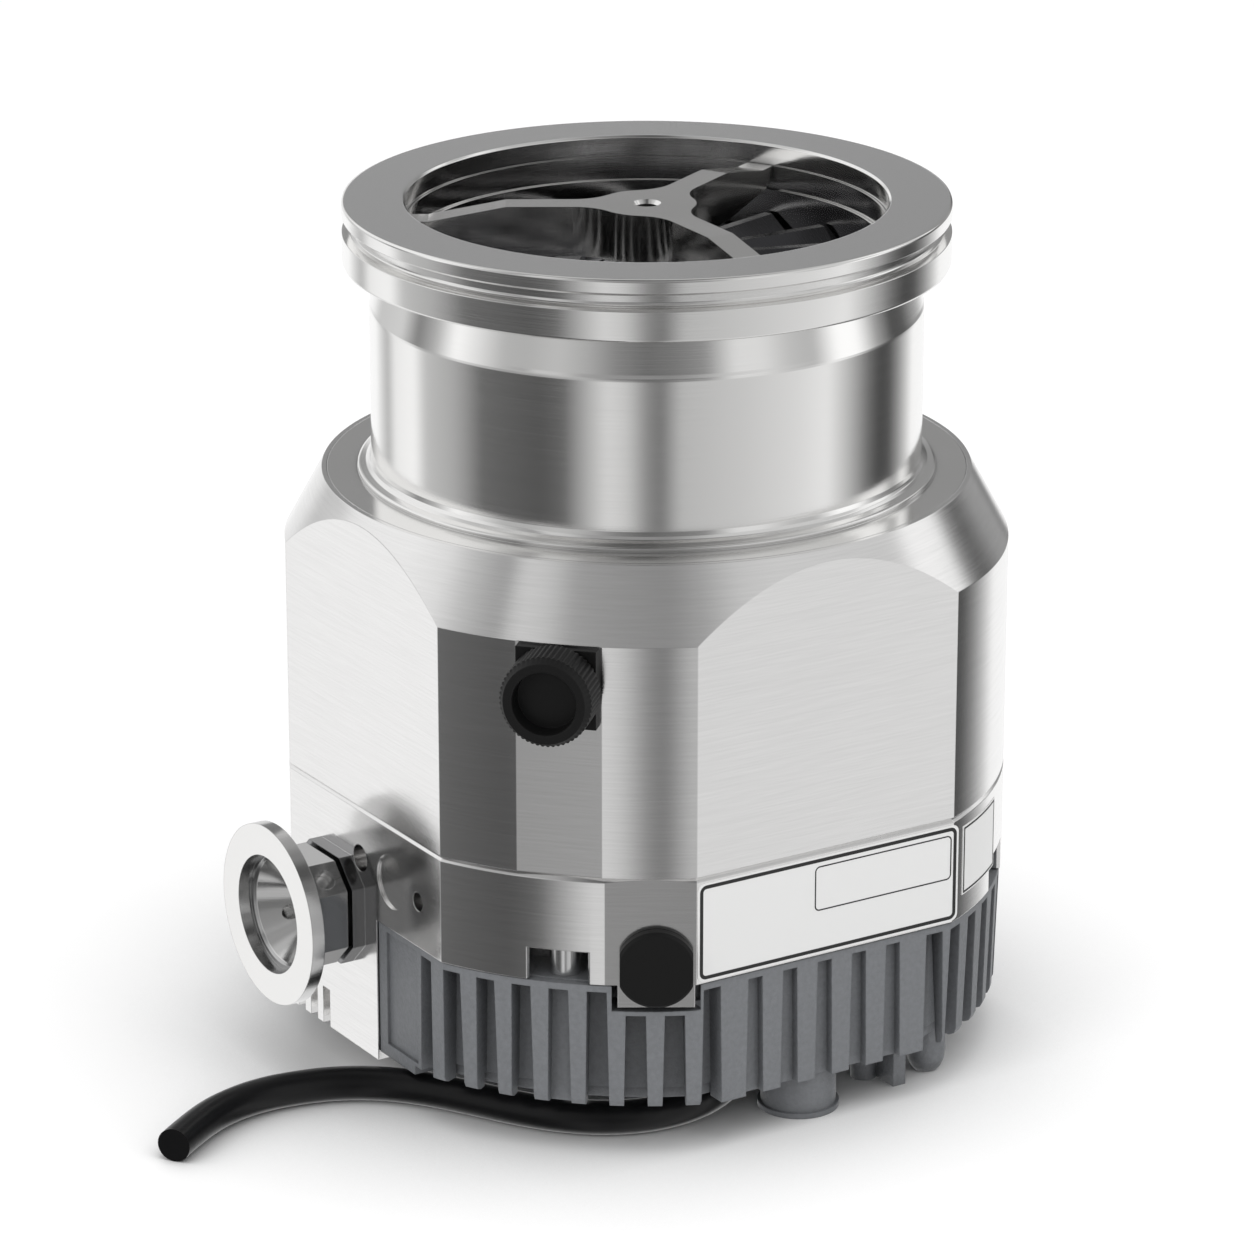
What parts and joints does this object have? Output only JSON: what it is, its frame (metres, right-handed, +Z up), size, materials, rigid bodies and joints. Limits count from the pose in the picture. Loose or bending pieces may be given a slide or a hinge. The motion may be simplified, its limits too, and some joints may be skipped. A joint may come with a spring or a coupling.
{
  "type": "turbomolecular pump",
  "caption": "Vacuum pump with a bladed rotor under a round clamp-flange inlet, a finned drive housing, a side backing port and a vent knob.",
  "frame": {"origin": "centre of the three foot holes, on the floor that the pump stands on", "axes": "+Z up along the pump's axis to the inlet, -X out of the backing port, -Y towards the label side"},
  "size_m": [0.2007, 0.1446, 0.188],
  "materials": {
    "polished_aluminium": "polished",
    "brushed_envelope": "fine turned",
    "rotor_alloy": "machined",
    "stator_alloy": "machined",
    "steel": "ground",
    "magnet": "nickel plated",
    "laminations": "stacked",
    "copper": "enamelled wire",
    "grey_housing": "fine powder coat",
    "black_plastic": "matte",
    "ivory_plastic": "matte",
    "rubber": "matte",
    "felt": "felt",
    "board": "gloss",
    "cable_jacket": "satin"
  },
  "bodies": {
    "pump": {"inlet_envelope": "brushed_envelope", "upper_body": "polished_aluminium", "lower_body": "polished_aluminium", "envelope_seal": "rubber", "body_seal": "rubber", "tie_screws": "steel", "bearing_spider": "stator_alloy", "still_magnets": "magnet", "backup_bearing": "steel", "stator_disc_1": "stator_alloy", "stator_disc_2": "stator_alloy", "stator_disc_3": "stator_alloy", "spacer_ring_1": "stator_alloy", "spacer_ring_2": "stator_alloy", "spacer_ring_3": "stator_alloy", "spacer_ring_4": "stator_alloy", "drag_stator_1": "stator_alloy", "drag_stator_2": "stator_alloy", "drag_stator_3": "stator_alloy", "drag_spacer": "stator_alloy", "motor_core": "laminations", "motor_windings": "copper", "bearing_outer_race": "steel", "bearing_carrier": "steel", "bearing_dampers": "rubber", "oil_wick": "felt", "oil_cartridge": "ivory_plastic", "cartridge_cap": "black_plastic", "backing_port": "polished_aluminium", "backing_port_seal": "rubber", "vent_valve_body": "black_plastic", "drive_housing": "grey_housing", "housing_screws": "steel", "bottom_cover": "grey_housing", "cover_screws": "steel", "foot_1": "grey_housing", "foot_2": "grey_housing", "foot_3": "grey_housing", "control_board": "board", "board_components": "black_plastic", "cable_gland": "black_plastic", "power_cable": "cable_jacket", "support_block": "grey_housing", "support_post": "grey_housing"},
    "rotor": {"rotor_shaft": "steel", "bladed_rotor": "rotor_alloy", "drag_rotor": "rotor_alloy", "motor_magnet": "magnet", "rotor_magnets": "magnet", "bearing_inner_race": "steel", "oil_nut": "steel"},
    "ball_cage": {"ball_cage": "steel"},
    "vent_closure": {"vent_plunger": "steel", "vent_seal_pad": "rubber"},
    "vent_knob": {"vent_knob": "black_plastic", "vent_stem": "steel"},
    "purge_plug": {"purge_plug": "black_plastic", "purge_seal": "rubber"}
  },
  "joints": [
    {"name": "rotor_spin", "type": "hinge", "parent": "pump", "child": "rotor", "pos_m": [0, 0, 0.1], "axis": [0, 0, 1], "continuous": true},
    {"name": "ball_cage_spin", "type": "hinge", "parent": "pump", "child": "ball_cage", "pos_m": [0, 0, 0.0425], "axis": [0, 0, 1], "continuous": true},
    {"name": "vent_lift", "type": "slide", "parent": "pump", "child": "vent_closure", "axis": [-0.7139, -0.7003, 0], "range_m": [0, 0.001]},
    {"name": "vent_knob_turn", "type": "hinge", "parent": "vent_closure", "child": "vent_knob", "pos_m": [-0.05561, -0.05455, 0.105], "axis": [-0.7139, -0.7003, 0], "range_deg": [0, 360]},
    {"name": "purge_plug_pull", "type": "slide", "parent": "pump", "child": "purge_plug", "axis": [-0.5225, -0.8526, 0], "range_m": [0, 0.01]}
  ],
  "couplings": [
    {"joint": "ball_cage_spin", "follows": "rotor_spin", "ratio": 0.36667},
    {"joint": "vent_lift", "follows": "vent_knob_turn", "m_per_rad": 0.00015915}
  ]
}
